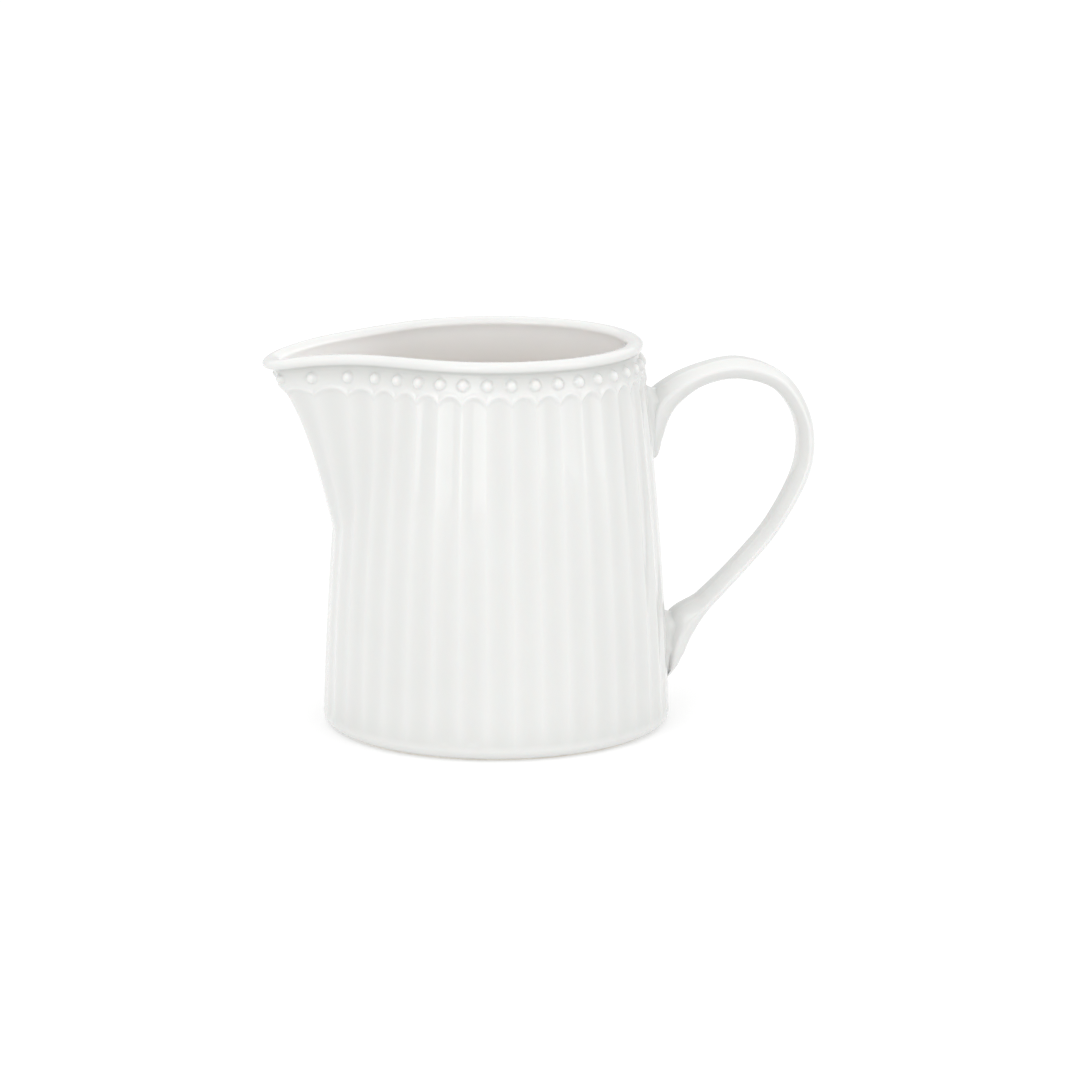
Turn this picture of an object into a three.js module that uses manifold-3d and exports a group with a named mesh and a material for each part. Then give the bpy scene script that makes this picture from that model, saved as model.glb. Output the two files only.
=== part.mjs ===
// Porcelain cream jug: fluted body with a pulled spout, glaze-free foot ring, loop handle and its two slip joints.
// Millimetres, +Z up. The spout points along -X and the handle along +X. The group's origin is the middle of the
// box's underside, on the plane the jug stands on.
import * as THREE from "three";
import { mergeVertices } from "three/addons/utils/BufferGeometryUtils.js";
import Module from "manifold-3d";

// Body of revolution
const rimHeight = 94.8;
const baseRadius = 42.6;
const taper = 0.0283; // fall of the wall's radius per mm of height, at the base
const taperGrowth = 0.000523; // how much faster it falls for each mm higher up
const wallThickness = 3.3;
const footRounding = 2.2;
const floorTop = 5.4;
const floorCorner = 9;
const undersideRecess = 2.4;

// Rolled lip and the plain cove under it
const lipHalfWidth = 2.1;
const lipHalfHeight = 1.45;
const lipProud = 0.5;
const coveStart = 86.6;
const coveEnd = 91.6;
const coveDepth = 0.9;

// Relief
const fluteCount = 39; // a ridge and a pearl lie on the handle's plane, a hollow on the spout's keel
const fluteDepth = 0.45;
const fluteFoot = 5.5;
const archTop = 87.1;
const archRise = 1.9;
const columnsPerFlute = 4;
const pearlRadius = 1.45;
const pearlSunk = 0.75; // depth of a pearl's centre below the wall's surface
const pearlHeight = 89.3;

// Spout
const spoutRoot = 49;
const spoutLean = 11.8;
const spoutFlare = 5.0;
const noseRadiusTop = 10.3;
const noseRadiusRoot = 22;
const spoutPinch = 1.0;
const tipDrop = 3.9;
const dropStart = 24; // distance from the axis where the rim begins to fall towards the tip
const dropPower = 2.8;
const dropFoot = 70; // height below which the falling rim no longer pulls the wall down

// Standing ring
const ringInner = 37.1;
const ringOuter = 40.3;
const ringHeight = 0.4;
const ringGap = 0.05;

// Handle: stations along the strap as [x, z, thickness in its plane, width across]
const handleStations = [
  [38.4, 65.4, 3.1, 6.5],
  [38.8, 70.2, 4.8, 10.5],
  [40.0, 77.0, 7.0, 12.6],
  [44.9, 81.7, 5.9, 11.8],
  [51.6, 84.9, 4.9, 11.0],
  [60.2, 86.1, 5.1, 10.5],
  [70.2, 82.5, 4.5, 10.5],
  [76.2, 73.1, 3.9, 10.5],
  [76.6, 62.1, 3.9, 10.5],
  [69.6, 47.4, 3.6, 10.5],
  [61.5, 37.6, 3.6, 10.5],
  [52.0, 28.0, 4.1, 10.6],
  [46.0, 22.3, 7.4, 11.4],
  [43.4, 16.2, 7.0, 12.0],
  [42.9, 12.2, 4.4, 9.5],
  [42.4, 9.9, 2.0, 6.0],
];
const handleSteps = 46;
const jointSeat = 0.15; // clear gap from the wall to the slip joint, and from the joint to the handle
const jointThickness = 0.9;
const jointMargin = 0.7; // how far the slip squeezes out round the handle's end

const lerp = THREE.MathUtils.lerp;
const smooth = THREE.MathUtils.smoothstep;

function bodyRadius(z) {
  return baseRadius - taper * z - taperGrowth * z * z;
}

// How far up the spout a height is, 0 at its root and 1 at the rim.
function spoutShare(z) {
  return Math.max(0, (z - spoutRoot) / (rimHeight - spoutRoot));
}

function keelRadius(z) {
  const share = spoutShare(z);
  return bodyRadius(spoutRoot) + spoutLean * share + spoutFlare * share ** 3;
}

// Distance from the axis to the wall at a height and a direction. Above the spout's root the plan is the body's
// circle and a smaller nose circle with straight sides between, a little pinched. All of it is drawn in by inset.
function wallRadius(angle, z, inset) {
  const radius = bodyRadius(z) - inset;
  const share = spoutShare(z);
  const nose = lerp(noseRadiusRoot, noseRadiusTop, share);
  const reach = keelRadius(z) - nose;
  const fromSpout = Math.abs(Math.PI - Math.abs(angle));
  if (share === 0 || reach + nose <= bodyRadius(z)) return radius;
  const tangent = Math.acos((bodyRadius(z) - nose) / reach);
  if (fromSpout >= tangent) return radius;
  const noseInset = nose - inset;
  const noseEnd = Math.atan2(noseInset * Math.sin(tangent), reach + noseInset * Math.cos(tangent));
  if (fromSpout <= noseEnd) {
    const side = reach * Math.sin(fromSpout);
    return reach * Math.cos(fromSpout) + Math.sqrt(noseInset ** 2 - side ** 2);
  }
  const along = (Math.tan(tangent - fromSpout) / Math.tan(tangent - noseEnd)) * Math.PI;
  const pinch = spoutPinch * share * Math.sin(along) ** 2;
  return (radius - pinch) / Math.cos(tangent - fromSpout);
}

// Depth of the fluting: hollows between sharp ridges, ending in a round arch above and fading out above the foot.
function fluting(angle, z) {
  const across = ((angle / (2 * Math.PI)) * fluteCount + fluteCount) % 1;
  const offCentre = Math.abs(2 * across - 1);
  const hollow = 1 - offCentre ** 2;
  const top = archTop - archRise * offCentre ** 2;
  return fluteDepth * hollow * smooth(z, 1.5, fluteFoot) * (1 - smooth(z, top - 1.2, top));
}

function rimDrop(distance, z) {
  const tip = keelRadius(rimHeight);
  const share = Math.max(0, (distance - dropStart) / (tip - dropStart));
  return tipDrop * share ** dropPower * smooth(z, dropFoot, rimHeight - lipHalfHeight);
}

// Bends the turned form into the jug: each point keeps its depth below the outer surface.
function intoJug(point) {
  const distance = Math.hypot(point.x, point.y);
  if (distance < 1e-6) return point;
  const angle = Math.atan2(point.y, point.x);
  const inset = bodyRadius(point.z) - distance;
  const isOuter = inset < 0.5 * wallThickness && point.z > ringHeight;
  const depth = isOuter ? fluting(angle, point.z) : 0;
  const radius = (point.z > spoutRoot ? wallRadius(angle, point.z, inset) : distance) - depth;
  const x = radius * Math.cos(angle);
  const y = radius * Math.sin(angle);
  const drop = x < 0 ? rimDrop(-x, point.z) : 0;
  return point.set(x, y, point.z - drop);
}

function reshape(geometry, move) {
  const places = geometry.attributes.position;
  const point = new THREE.Vector3();
  for (let i = 0; i < places.count; i++) {
    move(point.fromBufferAttribute(places, i));
    places.setXYZ(i, point.x, point.y, point.z);
  }
  return geometry;
}

function bare(geometry) {
  geometry.deleteAttribute("normal");
  geometry.deleteAttribute("uv");
  return mergeVertices(geometry, 1e-4);
}

function turned(profile, segments) {
  const points = profile.map(([radius, z]) => new THREE.Vector2(radius, z));
  return bare(new THREE.LatheGeometry(points, segments).rotateX(Math.PI / 2));
}

// Points along part of an ellipse, as [radius, height].
function arc(centreR, centreZ, halfWidth, halfHeight, from, to, steps) {
  const clockwise = to < from;
  const curve = new THREE.EllipseCurve(centreR, centreZ, halfWidth, halfHeight, from, to, clockwise);
  return curve.getPoints(steps).map((p) => [p.x, p.y]);
}

const wasm = await Module();
wasm.setup();

function solid(geometry) {
  return new wasm.Manifold(
    new wasm.Mesh({
      numProp: 3,
      vertProperties: new Float32Array(geometry.attributes.position.array),
      triVerts: new Uint32Array(geometry.index.array),
    }),
  );
}

function surface(manifold) {
  const mesh = manifold.getMesh();
  const geometry = new THREE.BufferGeometry();
  geometry.setAttribute("position", new THREE.BufferAttribute(mesh.vertProperties, 3));
  geometry.setIndex(new THREE.BufferAttribute(mesh.triVerts, 1));
  return geometry;
}

// The body's section from the middle of the underside, up the outside, over the lip and down to the floor's middle.
function bodyProfile() {
  const seat = ringHeight + ringGap;
  const footR = baseRadius - footRounding;
  const lipZ = rimHeight - lipHalfHeight;
  const lipR = bodyRadius(lipZ) + lipProud - lipHalfWidth;
  const cornerZ = floorTop + floorCorner;
  const cornerR = bodyRadius(cornerZ) - wallThickness - floorCorner;
  const fluted = [fluteFoot, 26, spoutRoot, 57, 67, 76, archTop - archRise - 1, archTop - 1.1];
  const cove = [archTop, 89.4, 91.2];
  const inside = [86, 70, spoutRoot];
  return [
    [0, undersideRecess],
    [ringInner - 2.2, undersideRecess],
    [ringInner - 1, seat],
    ...arc(footR, seat + footRounding, footRounding, footRounding, -Math.PI / 2, 0, 2),
    ...fluted.map((z) => [bodyRadius(z), z]),
    ...cove.map((z) => [bodyRadius(z) - coveDepth * smooth(z, coveStart, coveEnd), z]),
    ...arc(lipR, lipZ, lipHalfWidth, lipHalfHeight, -0.6, Math.PI, 5),
    ...inside.map((z) => [bodyRadius(z) - wallThickness, z]),
    ...arc(cornerR, cornerZ, floorCorner, floorCorner, 0, -Math.PI / 2, 2),
    [0, floorTop],
  ];
}

function jugBody() {
  const shell = turned(bodyProfile(), fluteCount * columnsPerFlute);
  let body = solid(reshape(shell, intoJug));
  for (let i = 0; i < fluteCount; i++) {
    const angle = (i / fluteCount) * 2 * Math.PI;
    const distance = bodyRadius(pearlHeight) - pearlSunk;
    const place = intoJug(new THREE.Vector3(distance * Math.cos(angle), distance * Math.sin(angle), pearlHeight));
    const pearl = bare(new THREE.SphereGeometry(pearlRadius, 6, 4).rotateY(Math.PI / 2));
    pearl.rotateZ(angle).translate(place.x, place.y, place.z);
    body = body.add(solid(pearl));
  }
  return surface(body);
}

function footRing() {
  return turned(
    [
      [ringInner, ringHeight],
      [ringInner + 0.3, 0],
      [ringOuter - 0.4, 0],
      [ringOuter, ringHeight],
      [ringInner, ringHeight],
    ],
    64,
  );
}

// The strap: a six-sided section extruded straight, then bent along the stations. spare widens it all round.
function strap(spare) {
  const section = new THREE.Shape();
  const corners = [
    [-0.5, 0],
    [-0.27, -0.5],
    [0.27, -0.5],
    [0.5, 0],
    [0.27, 0.5],
    [-0.27, 0.5],
  ];
  section.setFromPoints(corners.map(([across, out]) => new THREE.Vector2(across, out)));
  const straight = new THREE.ExtrudeGeometry(section, { depth: 1, steps: handleSteps, bevelEnabled: false });
  const route = new THREE.CatmullRomCurve3(handleStations.map(([x, z]) => new THREE.Vector3(x, 0, z)));
  const sizes = new THREE.CatmullRomCurve3(handleStations.map(([, , t, w]) => new THREE.Vector3(t, w, 0)));
  return reshape(bare(straight), (point) => {
    const centre = route.getPoint(point.z);
    const ahead = route.getTangent(point.z);
    const size = sizes.getPoint(point.z);
    const out = point.y * (size.x + 2 * spare);
    const across = point.x * (size.y + 2 * spare);
    return point.set(centre.x - ahead.z * out, across, centre.z + ahead.x * out);
  });
}

// A plain turned solid that stands proud of the wall by gap, for trimming the handle's ends.
function trimmer(gap) {
  const heights = [0, 15, 30, 45, 60, 75, 90, 100];
  const wall = heights.map((z) => [bodyRadius(z) + gap, z]);
  return solid(turned([[0, heights[0]], ...wall, [0, heights.at(-1)]], 72));
}

function handle() {
  return surface(solid(strap(0)).subtract(trimmer(jointSeat * 2 + jointThickness)));
}

function slipJoint(isUpper) {
  const pads = solid(strap(jointMargin))
    .intersect(trimmer(jointSeat + jointThickness))
    .subtract(trimmer(jointSeat));
  return surface(pads.decompose()[isUpper ? 0 : 1]);
}

const jug = new THREE.Group();

function addNode(name, geometry, colour, roughness) {
  const material = new THREE.MeshStandardMaterial({ color: colour, roughness, metalness: 0 });
  const mesh = new THREE.Mesh(geometry, material);
  mesh.name = name;
  jug.add(mesh);
}

const glazed = 0xeceeec;
const unglazed = 0xe4e1d9;
addNode("jug_body", jugBody(), glazed, 0.12);
addNode("foot_ring", footRing(), unglazed, 0.75);
addNode("handle", handle(), glazed, 0.12);
addNode("handle_upper_joint", slipJoint(true), glazed, 0.16);
addNode("handle_lower_joint", slipJoint(false), glazed, 0.16);

const box = new THREE.Box3().setFromObject(jug);
jug.position.x = -(box.min.x + box.max.x) / 2;

const group = new THREE.Group();
group.add(jug);

export default group;
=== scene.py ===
"""A small fluted porcelain cream jug with a pouring spout, a pearl border and a strap handle, on a studio table.

The shape functions work in millimetres about the jug's own upright axis, with the handle towards +X and the spout
towards -X. finished() turns each mesh into metres in the model's frame.
"""

import math

import bmesh
import bpy
from mathutils import Matrix, Vector
from mathutils.bvhtree import BVHTree


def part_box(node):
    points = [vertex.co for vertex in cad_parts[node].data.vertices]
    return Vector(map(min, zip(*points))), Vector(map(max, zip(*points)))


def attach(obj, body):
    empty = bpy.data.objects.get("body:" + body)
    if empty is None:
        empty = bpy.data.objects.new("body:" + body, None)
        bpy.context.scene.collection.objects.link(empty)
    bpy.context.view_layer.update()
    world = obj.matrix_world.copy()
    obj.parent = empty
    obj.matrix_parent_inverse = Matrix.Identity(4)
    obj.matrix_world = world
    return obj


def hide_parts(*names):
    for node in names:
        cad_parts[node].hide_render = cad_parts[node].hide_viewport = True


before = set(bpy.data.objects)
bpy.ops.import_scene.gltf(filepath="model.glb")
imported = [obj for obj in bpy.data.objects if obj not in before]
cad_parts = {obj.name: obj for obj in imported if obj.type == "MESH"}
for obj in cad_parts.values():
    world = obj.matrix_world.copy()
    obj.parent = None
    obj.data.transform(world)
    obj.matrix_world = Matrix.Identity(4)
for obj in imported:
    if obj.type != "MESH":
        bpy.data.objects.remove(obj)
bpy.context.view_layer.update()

MM = 0.001
ring_low, ring_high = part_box("foot_ring")
body_low, body_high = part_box("jug_body")
AXIS_X = (ring_low.x + ring_high.x) / 2

# Turned body, millimetres
RIM_HEIGHT = body_high.z / MM
RING_OUTER = (ring_high.x - ring_low.x) / 2 / MM
RING_INNER = RING_OUTER - 3.2
RING_HEIGHT = ring_high.z / MM
BASE_RADIUS = RING_OUTER + 2.3
TAPER = 0.0283  # fall of the wall's radius per mm of height, at the base
TAPER_GROWTH = 0.000523
WALL = 3.3
SEAT = RING_HEIGHT + 0.05
FOOT_ROUNDING = 2.2
UNDERSIDE = 2.4
FLOOR_TOP = 5.4
FLOOR_CORNER = 9.0

# Rolled lip and the plain cove under it
LIP_HALF_WIDTH = 2.1
LIP_HALF_HEIGHT = 1.45
LIP_PROUD = 0.5
LIP_START = -0.9  # radians round the lip's section, where it leaves the cove
LIP_END = math.pi + 0.35
COVE_START = 86.6
COVE_END = 91.6
COVE_DEPTH = 0.9
RELIEF_TOP = 90.9

# Relief
FLUTES = 39  # a ridge and a pearl lie on the handle's plane, a hollow on the spout's keel
FLUTE_PITCH = 2 * math.pi / FLUTES
FLUTE_DEPTH = 0.35
FLUTE_FOOT = 5.5
RIDGE_ROUNDING = 0.2  # as a share of half a flute
COLUMNS_PER_FLUTE = 18
ARCH_TOP = 87.1
ARCH_RISE = 1.9
ROLL_HEIGHT = 0.34
ROLL_HALF_WIDTH = 0.55
PEARL_RADIUS = 1.45
PEARL_SUNK = 0.75
PEARL_HEIGHT = 89.3
PEARL_FILLET = 0.25

LINING_FULL_SHADE = 70.0  # height under which the lining carries its full painted shade

# Spout
SPOUT_ROOT = 49.0
SPOUT_SOFTNESS = 0.03
SPOUT_LEAN = 11.8
SPOUT_FLARE = 5.0
NOSE_TOP = 10.3
NOSE_ROOT = 22.0
SPOUT_PINCH = 1.0
TIP_DROP = 3.9
DROP_START = 24.0
DROP_POWER = 2.8
DROP_FOOT = 70.0

# Handle: stations along the strap as (x, z, thickness in its plane, width across)
STATIONS = [
    Vector(station)
    for station in (
        (37.4, 64.0, 1.0, 2.4),
        (38.4, 65.4, 3.1, 6.5),
        (38.8, 70.2, 4.8, 10.5),
        (40.0, 77.0, 7.0, 12.6),
        (44.9, 81.7, 5.9, 11.8),
        (51.6, 84.9, 4.9, 11.0),
        (60.2, 86.1, 5.1, 10.5),
        (70.2, 82.5, 4.5, 10.5),
        (76.2, 73.1, 3.9, 10.5),
        (76.6, 62.1, 3.9, 10.5),
        (69.6, 47.4, 3.6, 10.5),
        (61.5, 37.6, 3.6, 10.5),
        (52.0, 28.0, 4.1, 10.6),
        (46.0, 22.3, 7.4, 11.4),
        (43.4, 16.2, 7.0, 12.0),
        (42.9, 12.2, 4.4, 9.5),
        (42.4, 9.9, 2.0, 6.0),
        (41.4, 8.9, 0.6, 2.0),
    )
]
STRAP_WIDTH = 10.5  # the section as drawn, before it is scaled to each station
STRAP_THICKNESS = 4.0
STRAP_FLAT = 0.25  # half width of the inner and outer flats, as a share of the width
STRAP_ARRIS = 0.1  # how far the arris lies towards the outer flat, as a share of the thickness
ARRIS_ROUNDING = 0.7
STRAP_STEPS = 240
SLIP_RADIUS = 1.7  # of the hollow curve between strap and wall
SLIP_REACH = 4.6  # the farthest it runs from the corner
SLIP_LINES = 120
SLIP_SIDES = 12
SLIP_SUNK = 0.05
SLIP_ROOT = 0.8  # how deep in the corner it is anchored

# Studio, metres
FLOOR_HALF = 6.0
CAMERA_AZIMUTH = -9.0  # degrees
CAMERA_ELEVATION = 12.389
CAMERA_DISTANCE = 1.0
AIM_HEIGHT = 0.0448
AIM_RIGHT = 0.0108  # how far to the camera's right of the jug's axis it looks
LENS = 136.1  # mm
SENSOR = 36.0


def mix(a, b, share):
    return a + (b - a) * share


def ease(value, low, high):
    """0 below low, 1 above high, and a smooth step between."""
    share = max(0.0, min(1.0, (value - low) / (high - low)))
    return share * share * (3 - 2 * share)


def soft_max(a, b, width):
    """The larger of two heights, with a fillet of about that width where they meet."""
    share = max(width - abs(a - b), 0.0) / width
    return max(a, b) + share * share * width / 4


# ---------------------------------------------------------------- the jug's wall


def body_radius(z):
    return BASE_RADIUS - TAPER * z - TAPER_GROWTH * z * z


def spout_share(z):
    """How far up the spout a height is: 0 below its root and 1 at the rim, with a soft start."""
    share = (z - SPOUT_ROOT) / (RIM_HEIGHT - SPOUT_ROOT)
    return (share + math.hypot(share, SPOUT_SOFTNESS)) / 2


def keel_radius(z):
    share = spout_share(z)
    return body_radius(SPOUT_ROOT) + SPOUT_LEAN * share + SPOUT_FLARE * share**3


def wall_radius(angle, z, inset):
    """Distance from the axis to the wall. The spout's plan is a small nose circle with nearly straight sides that
    run to the body's circle. All of it is drawn in by inset."""
    body = body_radius(z)
    nose = mix(NOSE_ROOT, NOSE_TOP, min(1.0, spout_share(z)))
    reach = keel_radius(z) - nose
    if z < SPOUT_ROOT / 2 or reach + nose <= body:
        return body - inset
    tangent = math.acos((body - nose) / reach)
    from_spout = abs(math.pi - abs(math.remainder(angle, 2 * math.pi)))
    if from_spout >= tangent:
        return body - inset
    nose_inset = nose - inset
    nose_end = math.atan2(nose_inset * math.sin(tangent), reach + nose_inset * math.cos(tangent))
    if from_spout <= nose_end:
        side = reach * math.sin(from_spout)
        return reach * math.cos(from_spout) + math.sqrt(nose_inset**2 - side**2)
    along = math.pi * math.tan(tangent - from_spout) / math.tan(tangent - nose_end)
    pinch = SPOUT_PINCH * spout_share(z) * math.sin(along) ** 2
    return (body - inset - pinch) / math.cos(tangent - from_spout)


def wall_point(angle, z, inset=0.0):
    radius = wall_radius(angle, z, inset)
    return Vector((radius * math.cos(angle), radius * math.sin(angle)))


def rim_drop(distance, z):
    """How far the rim and what is just under it sink towards the spout's tip."""
    tip = keel_radius(RIM_HEIGHT)
    share = max(0.0, (distance - DROP_START) / (tip - DROP_START))
    return TIP_DROP * share**DROP_POWER * ease(z, DROP_FOOT, RIM_HEIGHT - LIP_HALF_HEIGHT)


def cove_depth(z):
    return COVE_DEPTH * ease(z, COVE_START, COVE_END)


def relief(angle, z, run):
    """Height of the moulded relief over the plain wall: flutes between fine ridges, a scalloped roll that closes
    them, the cove, and a pearl over each ridge. run is the wall's length per radian."""
    from_ridge = math.remainder(angle, FLUTE_PITCH) / FLUTE_PITCH
    across = 2 * abs(from_ridge)
    rounded = math.hypot(across, RIDGE_ROUNDING) - RIDGE_ROUNDING
    rounded /= math.hypot(1.0, RIDGE_ROUNDING) - RIDGE_ROUNDING
    off_centre = 1 - across
    top = ARCH_TOP - ARCH_RISE * off_centre**2
    hollow = 1 - (1 - rounded) ** 2
    height = -FLUTE_DEPTH * hollow * ease(z, 1.5, FLUTE_FOOT) * (1 - ease(z, top - 1.5, top - 0.1))
    slope = 4 * ARCH_RISE * off_centre / (FLUTE_PITCH * run)
    from_roll = (z - top) / math.hypot(1.0, slope)
    height += ROLL_HEIGHT * math.exp(-((from_roll / ROLL_HALF_WIDTH) ** 2)) - cove_depth(z)
    from_pearl = math.hypot(from_ridge * FLUTE_PITCH * run, z - PEARL_HEIGHT)
    if from_pearl < PEARL_RADIUS:
        dome = math.sqrt(PEARL_RADIUS**2 - from_pearl**2) - PEARL_SUNK
        height = soft_max(height, dome, PEARL_FILLET)
    return height


def outer_surface(angle, z):
    """A point on the outside of the wall, relief and falling rim included, and the relief's height there."""
    step = 0.002
    run = (wall_point(angle + step, z) - wall_point(angle - step, z)) / (2 * step)
    height = relief(angle, z, run.length)
    place = wall_point(angle, z) + Vector((run.y, -run.x)).normalized() * height
    drop = rim_drop(-place.x, z) if place.x < 0 else 0.0
    return Vector((place.x, place.y, z - drop)), height


def crowded(angle):
    """Moves a column's angle towards its nearest ridge, so that fine detail gets more columns than the hollows."""
    offset = math.remainder(angle, FLUTE_PITCH)
    share = 2 * abs(offset) / FLUTE_PITCH
    return angle - offset + offset * (0.55 + 0.45 * share)


# ---------------------------------------------------------------- mesh helpers


def arc(centre, half_width, half_height, start, end, steps):
    """Points along part of an ellipse, as (distance from the axis, height)."""
    angles = [mix(start, end, step / steps) for step in range(steps + 1)]
    return [(centre[0] + half_width * math.cos(a), centre[1] + half_height * math.sin(a)) for a in angles]


def rows(low, high, spacing):
    """Evenly spaced heights from low up to high."""
    count = max(1, round((high - low) / spacing))
    return [mix(low, high, step / count) for step in range(count + 1)]


def spun(outline, steps, is_loop=False):
    """A new mesh turned about the upright axis from (distance, height) points."""
    bm = bmesh.new()
    verts = [bm.verts.new((distance, 0, z)) for distance, z in outline]
    ends = verts[1:] + verts[:1] if is_loop else verts[1:]
    edges = [bm.edges.new(pair) for pair in zip(verts, ends)]
    bmesh.ops.spin(
        bm,
        geom=verts + edges,
        cent=(0, 0, 0),
        axis=(0, 0, 1),
        angle=2 * math.pi,
        steps=steps,
        use_merge=True,
    )
    bmesh.ops.remove_doubles(bm, verts=bm.verts, dist=1e-5)
    bmesh.ops.recalc_face_normals(bm, faces=bm.faces)
    return bm


def flat_outline(corners, rounding=0.0):
    """A new mesh holding one flat face, its corners rounded."""
    bm = bmesh.new()
    verts = [bm.verts.new((x, y, 0)) for x, y in corners]
    bm.faces.new(verts)
    if rounding:
        bmesh.ops.bevel(
            bm,
            geom=verts,
            offset=rounding,
            offset_type="OFFSET",
            segments=4,
            profile=0.5,
            affect="VERTICES",
            material=-1,
        )
    return bm


def extruded(bm, cuts):
    """The flat face drawn up from z = 0 to 1 and cut into steps, ready for bending into shape."""
    made = bmesh.ops.extrude_face_region(bm, geom=bm.faces[:])
    top = [item for item in made["geom"] if isinstance(item, bmesh.types.BMVert)]
    bmesh.ops.translate(bm, verts=top, vec=(0, 0, 1))
    long_edges = [e for e in bm.edges if abs(e.verts[0].co.z - e.verts[1].co.z) > 0.5]
    bmesh.ops.subdivide_edges(bm, edges=long_edges, cuts=cuts)
    return bm


def finished(bm, name, material):
    """The mesh as a smooth object in metres in the model's frame, riding on the jug."""
    bmesh.ops.transform(bm, matrix=Matrix.Scale(MM, 4), verts=bm.verts)
    bmesh.ops.translate(bm, verts=bm.verts, vec=(AXIS_X, 0, 0))
    for face in bm.faces:
        face.smooth = True
    mesh = bpy.data.meshes.new(name)
    bm.to_mesh(mesh)
    bm.free()
    mesh.materials.append(material)
    piece = bpy.data.objects.new(name, mesh)
    bpy.context.scene.collection.objects.link(piece)
    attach(piece, "root")
    return piece


# ---------------------------------------------------------------- materials


def tint(code):
    """A linear colour from an sRGB hex value."""
    channels = [int(code[i : i + 2], 16) / 255 for i in (1, 3, 5)]
    linear = [c / 12.92 if c <= 0.04045 else ((c + 0.055) / 1.055) ** 2.4 for c in channels]
    return (*linear, 1.0)


def add_node(tree, kind, values=None, links=None, **settings):
    """A shader node with its settings, its sockets' values and what is linked into them."""
    node = tree.nodes.new(kind)
    for name, value in settings.items():
        setattr(node, name, value)
    for name, value in (values or {}).items():
        node.inputs[name].default_value = value
    for name, source in (links or {}).items():
        tree.links.new(source, node.inputs[name])
    return node


def new_material(name):
    """An empty material's node tree and its output node."""
    material = bpy.data.materials.new(name)
    material.use_nodes = True
    material.node_tree.nodes.clear()
    output = add_node(material.node_tree, "ShaderNodeOutputMaterial")
    return material, material.node_tree, output


def per_metre(size_mm):
    """A noise texture's scale for features of that size."""
    return 1 / (size_mm * MM)


def glazed_porcelain():
    """White porcelain under a clear glaze, poured on and fired to glass. It is mirror smooth with slow ripples where
    the glaze ran, very slightly green where it lies deep, and whiter where it drew thin over ridges and edges. The
    darker deep-glaze tone also carries painted shade in the cove and near the base, and a painted highlight along the
    handle's arrises; the lining carries painted light near the rim and painted shade deeper down."""
    material, tree, output = new_material("glazed_porcelain")
    place = add_node(tree, "ShaderNodeTexCoord")
    pool_and_painted_light = add_node(tree, "ShaderNodeAttribute", attribute_type="GEOMETRY", attribute_name="glaze_depth_and_painted_light")
    down_the_wall = add_node(
        tree,
        "ShaderNodeMapping",
        values={"Scale": (1.0, 1.0, 0.45)},
        links={"Vector": place.outputs["Object"]},
    )
    ripple = add_node(
        tree,
        "ShaderNodeTexNoise",
        values={"Scale": per_metre(9.0), "Detail": 2.0, "Roughness": 0.4},
        links={"Vector": down_the_wall.outputs["Vector"]},
    )
    peel = add_node(
        tree,
        "ShaderNodeTexNoise",
        values={"Scale": per_metre(1.3), "Detail": 1.0, "Roughness": 0.5},
        links={"Vector": place.outputs["Object"]},
    )
    cloud = add_node(
        tree,
        "ShaderNodeTexNoise",
        values={"Scale": per_metre(26.0), "Detail": 3.0, "Roughness": 0.55},
        links={"Vector": place.outputs["Object"]},
    )
    # The deep-glaze tone darkens the colour: real pooling in the flutes, painted shade in the cove and at the base,
    # and a painted highlight where it is thin on the handle's arrises.
    depth_and_painted_light = add_node(
        tree,
        "ShaderNodeMix",
        data_type="FLOAT",
        values={0: 0.18},
        links={2: pool_and_painted_light.outputs["Fac"], 3: cloud.outputs["Fac"]},
    )
    colour = add_node(
        tree,
        "ShaderNodeMix",
        data_type="RGBA",
        values={6: tint("#E6E6E5"), 7: tint("#C6C7C4")},
        links={0: depth_and_painted_light.outputs[0]},
    )
    inside = add_node(tree, "ShaderNodeAttribute", attribute_type="GEOMETRY", attribute_name="inside")
    sunk = add_node(tree, "ShaderNodeAttribute", attribute_type="GEOMETRY", attribute_name="below_rim")
    # Painted light and shade in the lining: near white at the rim where the front light reaches inside, a darker warm
    # tone deeper down where the wall shades it.
    lining_painted_light = add_node(
        tree,
        "ShaderNodeMix",
        data_type="RGBA",
        values={6: tint("#F9F9F8"), 7: tint("#DDD6CF")},
        links={0: sunk.outputs["Fac"]},
    )
    with_painted_lining = add_node(
        tree,
        "ShaderNodeMix",
        data_type="RGBA",
        links={0: inside.outputs["Fac"], 6: colour.outputs[2], 7: lining_painted_light.outputs[2]},
    )
    gloss = add_node(
        tree,
        "ShaderNodeMapRange",
        values={"From Min": 0.3, "From Max": 0.7, "To Min": 0.05, "To Max": 0.1},
        links={"Value": cloud.outputs["Fac"]},
    )
    slow = add_node(
        tree,
        "ShaderNodeBump",
        values={"Strength": 1.0, "Distance": 0.1 * MM},
        links={"Height": ripple.outputs["Fac"]},
    )
    fine = add_node(
        tree,
        "ShaderNodeBump",
        values={"Strength": 1.0, "Distance": 0.004 * MM},
        links={"Height": peel.outputs["Fac"], "Normal": slow.outputs["Normal"]},
    )
    shader = add_node(
        tree,
        "ShaderNodeBsdfPrincipled",
        values={"IOR": 1.5, "Subsurface Weight": 0.06, "Subsurface Scale": 1.0 * MM},
        links={
            "Base Color": with_painted_lining.outputs[2],
            "Roughness": gloss.outputs["Result"],
            "Normal": fine.outputs["Normal"],
        },
    )
    tree.links.new(shader.outputs["BSDF"], output.inputs["Surface"])
    return material


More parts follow.
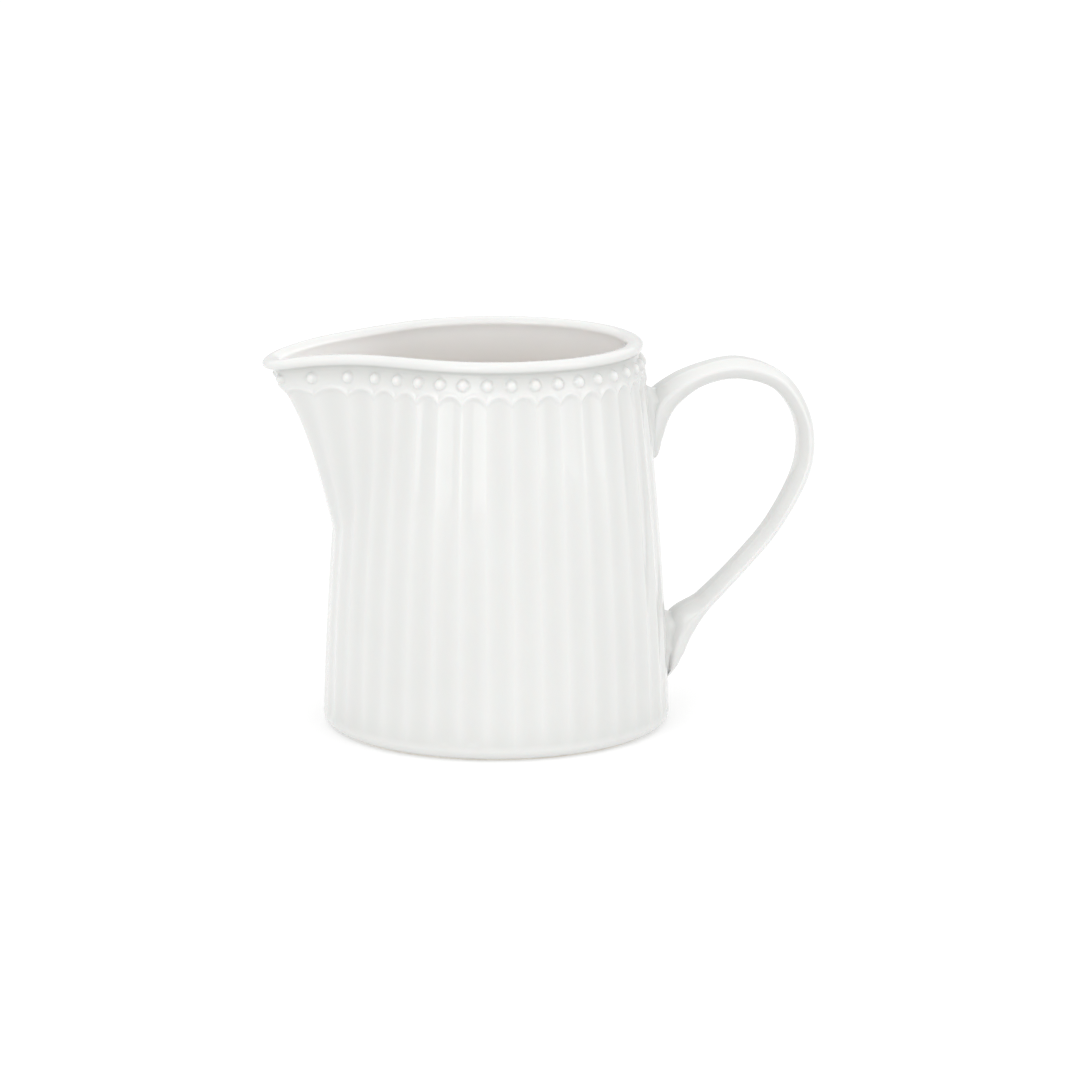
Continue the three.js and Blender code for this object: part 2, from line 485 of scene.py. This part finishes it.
def bare_porcelain():
    """Porcelain wiped bare of glaze and fired: a dry, slightly warm white with a fine grain. The grain is drawn about
    three times its real size so that it shows."""
    material, tree, output = new_material("bare_porcelain")
    place = add_node(tree, "ShaderNodeTexCoord")
    grain = add_node(
        tree,
        "ShaderNodeTexNoise",
        values={"Scale": per_metre(0.25), "Detail": 3.0, "Roughness": 0.6},
        links={"Vector": place.outputs["Object"]},
    )
    wear = add_node(
        tree,
        "ShaderNodeTexNoise",
        values={"Scale": per_metre(7.0), "Detail": 4.0, "Roughness": 0.6},
        links={"Vector": place.outputs["Object"]},
    )
    rubbed = add_node(
        tree,
        "ShaderNodeMapRange",
        values={"From Min": 0.45, "From Max": 0.75, "To Min": 0.0, "To Max": 0.6},
        links={"Value": wear.outputs["Fac"]},
    )
    colour = add_node(
        tree,
        "ShaderNodeMix",
        data_type="RGBA",
        values={6: tint("#E6E2D8"), 7: tint("#CBC5B8")},
        links={0: rubbed.outputs["Result"]},
    )
    roughness = add_node(
        tree,
        "ShaderNodeMapRange",
        values={"To Min": 0.62, "To Max": 0.85},
        links={"Value": grain.outputs["Fac"]},
    )
    bump = add_node(
        tree,
        "ShaderNodeBump",
        values={"Strength": 1.0, "Distance": 0.03 * MM},
        links={"Height": grain.outputs["Fac"]},
    )
    shader = add_node(
        tree,
        "ShaderNodeBsdfPrincipled",
        values={"IOR": 1.5},
        links={
            "Base Color": colour.outputs[2],
            "Roughness": roughness.outputs["Result"],
            "Normal": bump.outputs["Normal"],
        },
    )
    tree.links.new(shader.outputs["BSDF"], output.inputs["Surface"])
    return material


def lit_acrylic():
    """The matt white acrylic of a light table, lit from below, with a very faint cloudiness."""
    material, tree, output = new_material("lit_acrylic")
    place = add_node(tree, "ShaderNodeTexCoord")
    cloud = add_node(
        tree,
        "ShaderNodeTexNoise",
        values={"Scale": per_metre(300.0), "Detail": 2.0},
        links={"Vector": place.outputs["Object"]},
    )
    colour = add_node(
        tree,
        "ShaderNodeMix",
        data_type="RGBA",
        values={6: tint("#C6C6C6"), 7: tint("#CACACA")},
        links={0: cloud.outputs["Fac"]},
    )
    shader = add_node(
        tree,
        "ShaderNodeBsdfPrincipled",
        values={
            "Roughness": 0.9,
            "Specular IOR Level": 0.1,
            "Emission Color": (1.0, 1.0, 1.0, 1.0),
            "Emission Strength": 0.39,
        },
        links={"Base Color": colour.outputs[2]},
    )
    tree.links.new(shader.outputs["BSDF"], output.inputs["Surface"])
    return material


# ---------------------------------------------------------------- the jug's body


def underside_outline():
    """From the middle of the recess out to the seat that the foot ring stands under."""
    recess = [(share * RING_INNER, UNDERSIDE + 0.3 * (1 - share**2)) for share in (0, 0.3, 0.6, 0.8, 0.9)]
    step_down = [
        (mix(RING_INNER - 3.0, RING_INNER - 0.8, share), mix(UNDERSIDE, SEAT, ease(share, 0, 1)))
        for share in rows(0, 1, 0.2)
    ]
    return recess + step_down


def outside_outline():
    foot_r = BASE_RADIUS - FOOT_ROUNDING
    foot = arc((foot_r, SEAT + FOOT_ROUNDING), FOOT_ROUNDING, FOOT_ROUNDING, -math.pi / 2, 0, 5)
    heights = rows(4.0, 46, 3.4) + rows(47.5, 51.5, 1) + rows(54, 83, 2.9) + rows(84, RELIEF_TOP, 0.22)
    wall = [(body_radius(z), z) for z in heights]
    cove = [(body_radius(z) - cove_depth(z), z) for z in rows(91.15, 91.9, 0.25)]
    return foot + wall + cove


def lip_outline():
    z = RIM_HEIGHT - LIP_HALF_HEIGHT
    radius = body_radius(z) + LIP_PROUD - LIP_HALF_WIDTH
    return arc((radius, z), LIP_HALF_WIDTH, LIP_HALF_HEIGHT, LIP_START, LIP_END, 22)


def inside_outline():
    corner_z = FLOOR_TOP + FLOOR_CORNER
    corner_r = body_radius(corner_z) - WALL - FLOOR_CORNER
    heights = rows(52, 90, 4.2)[::-1] + rows(46, 50.5, 1.5)[::-1] + rows(18, 42, 6)[::-1]
    throat = [(body_radius(z) - WALL - 0.15 * ease(z, 90, 92.4), z) for z in (92.1, 91.2)]
    wall = [(body_radius(z) - WALL, z) for z in heights]
    corner = arc((corner_r, corner_z), FLOOR_CORNER, FLOOR_CORNER, 0, -math.pi / 2, 8)
    return throat + wall + corner + [(corner_r * 0.7, FLOOR_TOP), (corner_r * 0.35, FLOOR_TOP), (0, FLOOR_TOP)]


def jug_body(material):
    """The thrown wall is spun plain, then each point is moved: outwards and inwards for the relief, out to the
    spout's plan, and down where the rim falls towards the tip."""
    outline = underside_outline() + outside_outline() + lip_outline() + inside_outline()
    bm = spun(outline, FLUTES * COLUMNS_PER_FLUTE)
    glaze = bm.verts.layers.float.new("glaze_depth_and_painted_light")
    inside = bm.verts.layers.float.new("inside")
    sunk = bm.verts.layers.float.new("below_rim")
    for vert in bm.verts:
        distance = math.hypot(vert.co.x, vert.co.y)
        z = vert.co.z
        inset = body_radius(z) - distance
        angle = crowded(math.atan2(vert.co.y, vert.co.x))
        vert[glaze] = 0.5
        if distance < 1e-4:
            continue
        if abs(inset) < 1e-3 and SEAT < z <= RELIEF_TOP + 1e-3:
            vert.co, height = outer_surface(angle, z)
            # Painted shade: the glaze tone darkens over the lowest 10 mm towards the base, where the table's light is
            # cut off near the contact.
            down_the_wall = 0.35 * (1 - ease(z, 0, 10))
            # Glaze lies deeper where the relief lies back: real pooling in the flutes; in the cove this also darkens
            # it as painted shade under the lip.
            drawn_thin = 0.5 * height if height < 0 else 0.2 * height
            vert[glaze] = max(0.0, min(1.0, 0.45 - drawn_thin + down_the_wall))
            continue
        radius = wall_radius(angle, z, inset)
        x, y = radius * math.cos(angle), radius * math.sin(angle)
        vert.co = Vector((x, y, z - (rim_drop(-x, z) if x < 0 else 0.0)))
        on_lip = ease(z, RIM_HEIGHT - 1.8, RIM_HEIGHT - 0.4)
        # Painted shade in the cove under the lip: a deeper glaze tone there, partly real pooling and partly the shade
        # of the overhanging lip.
        cove_pool_and_shade = 1 - ease(z, 92.2, 93.0) if inset < WALL / 2 and z > RELIEF_TOP else 0.0
        vert[glaze] = 0.5 - 0.15 * on_lip + 0.5 * cove_pool_and_shade
        # Masks for the lining's painted light and shade: 'inside' marks the inner wall and floor, 'below_rim' how far
        # under the rim it lies.
        under_lip = 1 - ease(z, 93.0, 94.4)
        vert[inside] = ease(inset, WALL * 0.7, WALL * 0.95) * under_lip if z > FLOOR_TOP - 0.1 else 0.0
        vert[sunk] = 1 - ease(z, LINING_FULL_SHADE, RIM_HEIGHT)
    skin = BVHTree.FromBMesh(bm)
    piece = finished(bm, "porcelain_body", material)
    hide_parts("jug_body")
    return skin


def foot_ring(material):
    """The unglazed ring that the jug stands on. Its top is let into the body's seat."""
    top = SEAT + 0.2
    rounding = 0.25
    bottom = arc((RING_OUTER - rounding, rounding), rounding, rounding, 0, -math.pi / 2, 4)
    bottom += arc((RING_INNER + rounding, rounding), rounding, rounding, -math.pi / 2, -math.pi, 4)
    piece = finished(spun([(RING_OUTER, top)] + bottom + [(RING_INNER, top)], 256, True), "bare_foot_ring", material)
    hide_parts("foot_ring")


# ---------------------------------------------------------------- the handle


def spline_point(points, share):
    """A point on a centripetal Catmull-Rom spline, share 0 to 1 counting its stations evenly."""
    place = share * (len(points) - 1)
    index = min(int(place), len(points) - 2)
    first = points[0] * 2 - points[1]
    last = points[-1] * 2 - points[-2]
    p0, p1, p2, p3 = ([first] + points + [last])[index : index + 4]
    gaps = [math.sqrt(max((b - a).length, 1e-6)) for a, b in ((p0, p1), (p1, p2), (p2, p3))]
    leave = ((p1 - p0) / gaps[0] - (p2 - p0) / (gaps[0] + gaps[1]) + (p2 - p1) / gaps[1]) * gaps[1]
    arrive = ((p2 - p1) / gaps[1] - (p3 - p1) / (gaps[1] + gaps[2]) + (p3 - p2) / gaps[2]) * gaps[1]
    t = place - index
    cubic = (p1 - p2) * 2 + leave + arrive
    square = (p2 - p1) * 3 - leave * 2 - arrive
    return ((cubic * t + square) * t + leave) * t + p1


ROUTE = [Vector((x, z)) for x, z, _, _ in STATIONS]
SIZES = [Vector((thickness, width)) for _, _, thickness, width in STATIONS]


def strap_point(across, out, share):
    """A point of the strap. across and out are shares of its width and thickness there, -0.5 to 0.5."""
    step = 0.0005
    centre = spline_point(ROUTE, share)
    ahead = spline_point(ROUTE, min(1.0, share + step)) - spline_point(ROUTE, max(0.0, share - step))
    ahead.normalize()
    thickness, width = spline_point(SIZES, share)
    offset = out * max(thickness, 0.2)
    return Vector((centre.x - ahead.y * offset, across * max(width, 0.5), centre.y + ahead.x * offset))


def strap_section():
    """The strap's six-sided section: inner and outer flats and an arris down each side."""
    half_width, half_thickness = STRAP_WIDTH / 2, STRAP_THICKNESS / 2
    flat, arris = STRAP_FLAT * STRAP_WIDTH, STRAP_ARRIS * STRAP_THICKNESS
    return [
        (half_width, arris),
        (flat, half_thickness),
        (-flat, half_thickness),
        (-half_width, arris),
        (-flat, -half_thickness),
        (flat, -half_thickness),
    ]


def handle(material):
    """The strap, extruded straight and bent along its stations. Its ends are let into the wall."""
    bm = extruded(flat_outline(strap_section(), ARRIS_ROUNDING), STRAP_STEPS - 1)
    glaze = bm.verts.layers.float.new("glaze_depth_and_painted_light")
    for vert in bm.verts:
        across, out = vert.co.x / STRAP_WIDTH, vert.co.y / STRAP_THICKNESS
        # Painted highlight: the arrises get a thinner, lighter glaze tone, partly real thin glaze on edges and partly
        # standing in for the arris highlight.
        vert[glaze] = 0.5 - 0.3 * ease(abs(across), 0.41, 0.49)
        vert.co = strap_point(across, out, vert.co.z)
    bmesh.ops.recalc_face_normals(bm, faces=bm.faces)
    skin = BVHTree.FromBMesh(bm)
    piece = finished(bm, "strap_handle", material)
    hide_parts("handle")
    return skin


# ---------------------------------------------------------------- the slip joints


def rounded_section(count):
    """Evenly spaced points round the strap's rounded section, as shares of its width and thickness."""
    bm = flat_outline(strap_section(), ARRIS_ROUNDING)
    bm.faces.ensure_lookup_table()
    loop = [vert.co.xy for vert in bm.faces[0].verts]
    bm.free()
    lengths = [(b - a).length for a, b in zip(loop, loop[1:] + loop[:1])]
    points = []
    for step in range(count):
        left = step / count * sum(lengths)
        side = 0
        while left > lengths[side]:
            left -= lengths[side]
            side += 1
        point = loop[side].lerp(loop[(side + 1) % len(loop)], left / lengths[side])
        points.append((point.x / STRAP_WIDTH, point.y / STRAP_THICKNESS))
    return points


def above_wall(point):
    """How far a point near the handle lies outside the wall."""
    surface, _ = outer_surface(math.atan2(point.y, point.x), point.z)
    return math.hypot(point.x, point.y) - math.hypot(surface.x, surface.y)


def meeting_share(across, out, clear, buried):
    """Where along the strap one of its long lines passes through the wall."""
    for _ in range(24):
        middle = (clear + buried) / 2
        if above_wall(strap_point(across, out, middle)) > 0:
            clear = middle
        else:
            buried = middle
    return clear


def slip_slice(line, section, clear, buried, wall_skin, strap_skin):
    """One slice of the slip: a hollow curve from the strap's skin to the wall's, and a root sunk in the corner."""
    across, out = section[line]
    share = meeting_share(across, out, clear, buried)
    corner = strap_point(across, out, share)
    up_strap = strap_point(across, out, share + 0.001) - strap_point(across, out, share - 0.001)
    round_strap = strap_point(*section[(line + 1) % SLIP_LINES], share) - strap_point(*section[line - 1], share)
    strap_out = up_strap.cross(round_strap).normalized()
    if strap_out.dot(corner - strap_point(0, 0, share)) < 0:
        strap_out.negate()
    angle = math.atan2(corner.y, corner.x)
    slope = TAPER + 2 * TAPER_GROWTH * corner.z
    wall_out = Vector((math.cos(angle), math.sin(angle), slope)).normalized()
    along_strap = (wall_out - strap_out * wall_out.dot(strap_out)).normalized()
    along_wall = (strap_out - wall_out * strap_out.dot(wall_out)).normalized()
    half_opening = along_strap.angle(along_wall) / 2
    reach = min(SLIP_RADIUS / math.tan(half_opening), SLIP_REACH)
    on_strap, strap_normal, _, _ = strap_skin.find_nearest(corner + along_strap * reach)
    on_wall, wall_normal, _, _ = wall_skin.find_nearest(corner + along_wall * reach)
    start = on_strap - strap_normal * SLIP_SUNK
    end = on_wall - wall_normal * SLIP_SUNK
    points = []
    for step in range(SLIP_SIDES - 1):
        t = step / (SLIP_SIDES - 2)
        shares = ((1 - t) ** 2, 2 * t * (1 - t) * math.sin(half_opening), t * t)
        points.append((start * shares[0] + corner * shares[1] + end * shares[2]) / sum(shares))
    root = corner - (strap_out + wall_out).normalized() * SLIP_ROOT
    return points + [root]


def slip_joint(name, node, clear, buried, skins, material):
    """The slip that fills the corner between the handle's end and the wall, a hollow fillet all the way round.
    clear and buried are shares of the strap's length, in the open and inside the wall."""
    section = rounded_section(SLIP_LINES)
    slices = [slip_slice(line, section, clear, buried, *skins) for line in range(SLIP_LINES)]
    turn = 2 * math.pi / SLIP_SIDES
    polygon = [(math.cos(side * turn), math.sin(side * turn)) for side in range(SLIP_SIDES)]
    bm = extruded(flat_outline(polygon), SLIP_LINES - 1)
    caps = [face for face in bm.faces if len(face.verts) == SLIP_SIDES]
    bmesh.ops.delete(bm, geom=caps, context="FACES_ONLY")
    glaze = bm.verts.layers.float.new("glaze_depth_and_painted_light")
    for vert in bm.verts:
        side = round(math.atan2(vert.co.y, vert.co.x) / turn) % SLIP_SIDES
        line = round(vert.co.z * SLIP_LINES) % SLIP_LINES
        vert[glaze] = 0.65
        vert.co = slices[line][side]
    bmesh.ops.remove_doubles(bm, verts=bm.verts, dist=1e-5)
    bmesh.ops.recalc_face_normals(bm, faces=bm.faces)
    piece = finished(bm, name, material)
    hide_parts(node)


# ---------------------------------------------------------------- the studio


def studio_floor():
    bm = bmesh.new()
    bmesh.ops.create_grid(bm, x_segments=1, y_segments=1, size=FLOOR_HALF)
    mesh = bpy.data.meshes.new("studio_floor")
    bm.to_mesh(mesh)
    bm.free()
    mesh.materials.append(lit_acrylic())
    floor = bpy.data.objects.new("studio_floor", mesh)
    bpy.context.scene.collection.objects.link(floor)


def soft_box(name, place, target, width, height, radiance):
    """A rectangular soft light that looks at a target, as bright as radiance seen face on."""
    light = bpy.data.lights.new(name, "AREA")
    light.shape = "RECTANGLE"
    light.size = width
    light.size_y = height
    light.energy = radiance * math.pi * width * height
    box = bpy.data.objects.new(name, light)
    box.location = place
    box.rotation_euler = (Vector(target) - Vector(place)).to_track_quat("-Z", "Y").to_euler()
    bpy.context.scene.collection.objects.link(box)


def studio_world(front, back):
    """White walls that are brighter on the side the jug is looked at from (-Y) than on the far side."""
    world = bpy.data.worlds.new("studio")
    world.use_nodes = True
    tree = world.node_tree
    direction = add_node(tree, "ShaderNodeTexCoord")
    parts = add_node(tree, "ShaderNodeSeparateXYZ", links={"Vector": direction.outputs["Generated"]})
    radiance = add_node(
        tree,
        "ShaderNodeMapRange",
        values={"From Min": -0.8, "From Max": 0.8, "To Min": front, "To Max": back},
        links={"Value": parts.outputs["Y"]},
    )
    background = tree.nodes["Background"]
    background.inputs["Color"].default_value = (1.0, 1.0, 1.0, 1.0)
    tree.links.new(radiance.outputs["Result"], background.inputs["Strength"])
    bpy.context.scene.world = world


def camera():
    azimuth, elevation = math.radians(CAMERA_AZIMUTH), math.radians(CAMERA_ELEVATION)
    back = Vector(
        (
            math.sin(azimuth) * math.cos(elevation),
            -math.cos(azimuth) * math.cos(elevation),
            math.sin(elevation),
        )
    )
    right = Vector((math.cos(azimuth), math.sin(azimuth), 0))
    target = Vector((AXIS_X, 0, AIM_HEIGHT)) + right * AIM_RIGHT
    lens = bpy.data.cameras.new("camera")
    lens.lens = LENS
    lens.sensor_width = SENSOR
    lens.clip_start = 0.05
    lens.clip_end = 50.0
    eye = bpy.data.objects.new("camera", lens)
    eye.location = target + back * CAMERA_DISTANCE
    eye.rotation_euler = (-back).to_track_quat("-Z", "Y").to_euler()
    bpy.context.scene.collection.objects.link(eye)
    bpy.context.scene.camera = eye


porcelain = glazed_porcelain()
skins = (jug_body(porcelain), handle(porcelain))
foot_ring(bare_porcelain())
slip_joint("upper_slip_joint", "handle_upper_joint", 0.32, 0.01, skins, porcelain)
slip_joint("lower_slip_joint", "handle_lower_joint", 0.68, 0.99, skins, porcelain)

studio_floor()
camera()
studio_world(0.9, 0.75)
soft_box("overhead", (0.0, 0.8, 2.2), (0.0, 0.8, 0.0), 8.0, 8.0, 0.44)
soft_box("front_left", (-0.8, -1.1, 0.6), (0.0, 0.0, 0.3), 0.75, 1.2, 1.45)
soft_box("front_right", (1.1, -0.8, 0.6), (0.0, 0.0, 0.3), 0.75, 1.2, 0.95)
bpy.context.scene.view_settings.view_transform = "Standard"
